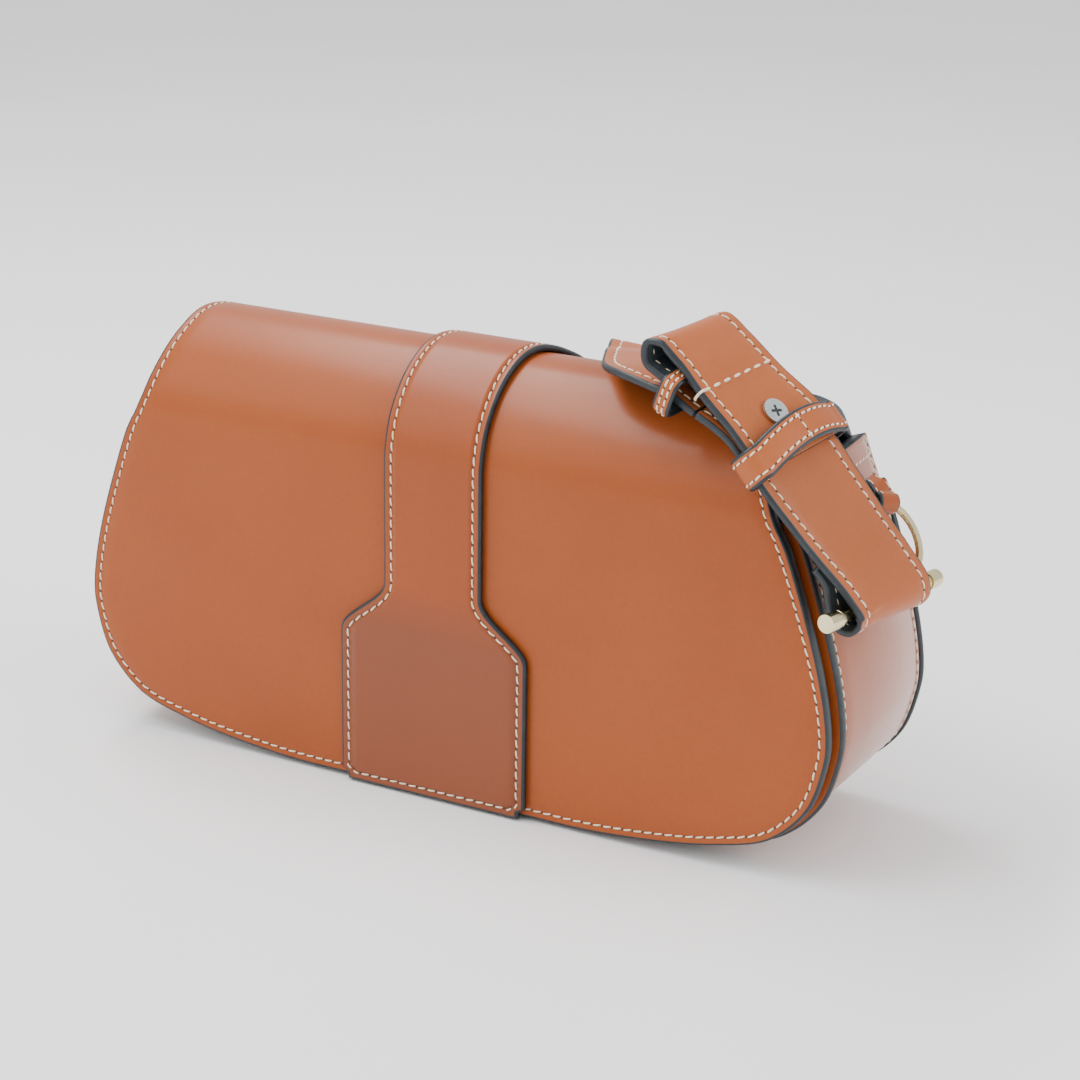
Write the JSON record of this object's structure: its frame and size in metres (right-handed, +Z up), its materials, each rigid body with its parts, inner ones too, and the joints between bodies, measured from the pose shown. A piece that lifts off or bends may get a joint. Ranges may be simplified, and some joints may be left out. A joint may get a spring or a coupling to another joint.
{
  "type": "sling bag",
  "caption": "Small rounded flap bag in stiff stitched leather with a gusseted body, a magnetic snap, and a shoulder strap hung from toggle bars and rings.",
  "frame": {"origin": "middle of the base gusset's flat underside, on the plane that the bag stands on", "axes": "+Z up, +Y from the flap's face to the back panel, +X to the right as the flap's face is seen"},
  "size_m": [0.281, 0.0999, 0.1538],
  "materials": {
    "tan_leather": "smooth semi-gloss tan leather with painted blue-black edges and cream stitching",
    "suede_lining": "matt blue-black suede",
    "brass": "polished pale brass",
    "steel": "satin nickelled steel"
  },
  "bodies": {
    "bag": {"base_gusset": "tan_leather", "left_gusset": "tan_leather", "right_gusset": "tan_leather", "front_panel": "tan_leather", "back_panel": "tan_leather", "front_lining": "suede_lining", "back_lining": "suede_lining", "inner_pocket": "suede_lining", "flap_top": "tan_leather", "centre_tab_top": "tan_leather", "snap_socket": "steel", "snap_washer": "steel", "right_ring_tab": "tan_leather", "left_ring_tab": "tan_leather", "left_toggle_bar": "brass", "strap_rear": "tan_leather"},
    "flap": {"flap_front": "tan_leather", "flap_lining": "suede_lining", "centre_tab_front": "tan_leather", "snap_plate": "steel"},
    "right_ring": {"right_ring": "brass"},
    "left_ring": {"left_ring": "brass"},
    "right_strap": {"right_toggle_bar": "brass", "hanger_strap": "tan_leather", "adjuster_strap": "tan_leather", "strap_lead": "tan_leather"},
    "upper_keeper": {"upper_keeper": "tan_leather"},
    "rear_keeper": {"rear_keeper": "tan_leather"},
    "adjuster_screw": {"adjuster_screw": "steel"}
  },
  "joints": [
    {"name": "flap_lift", "type": "hinge", "parent": "bag", "child": "flap", "pos_m": [0, -0.02945, 0.12112], "axis": [-1, 0, 0], "range_deg": [0, 36]},
    {"name": "right_strap_swing", "type": "hinge", "parent": "bag", "child": "right_strap", "pos_m": [0.1276, 0.0053, 0.0816], "axis": [0.3429, 0.906, -0.2481], "range_deg": [0, 22]},
    {"name": "right_ring_swing", "type": "hinge", "parent": "bag", "child": "right_ring", "pos_m": [0.1172, 0.014, 0.099], "axis": [0.3429, 0.906, -0.2481], "range_deg": [-3, 3]},
    {"name": "left_ring_swing", "type": "hinge", "parent": "bag", "child": "left_ring", "pos_m": [-0.1184, 0.004, 0.099], "axis": [-0.0423, 0.9959, -0.0804], "range_deg": [-3, 3]},
    {"name": "upper_keeper_slide", "type": "slide", "parent": "right_strap", "child": "upper_keeper", "axis": [0.6815, -0.02, -0.7316], "range_m": [0, 0.002]},
    {"name": "rear_keeper_slide", "type": "slide", "parent": "right_strap", "child": "rear_keeper", "axis": [0.9329, -0.0608, -0.3549], "range_m": [-0.0004, 0.0003]},
    {"name": "adjuster_screw_turn", "type": "hinge", "parent": "right_strap", "child": "adjuster_screw", "pos_m": [0.1014, -0.028, 0.1333], "axis": [0.6601, -0.245, 0.7101], "continuous": true}
  ]
}
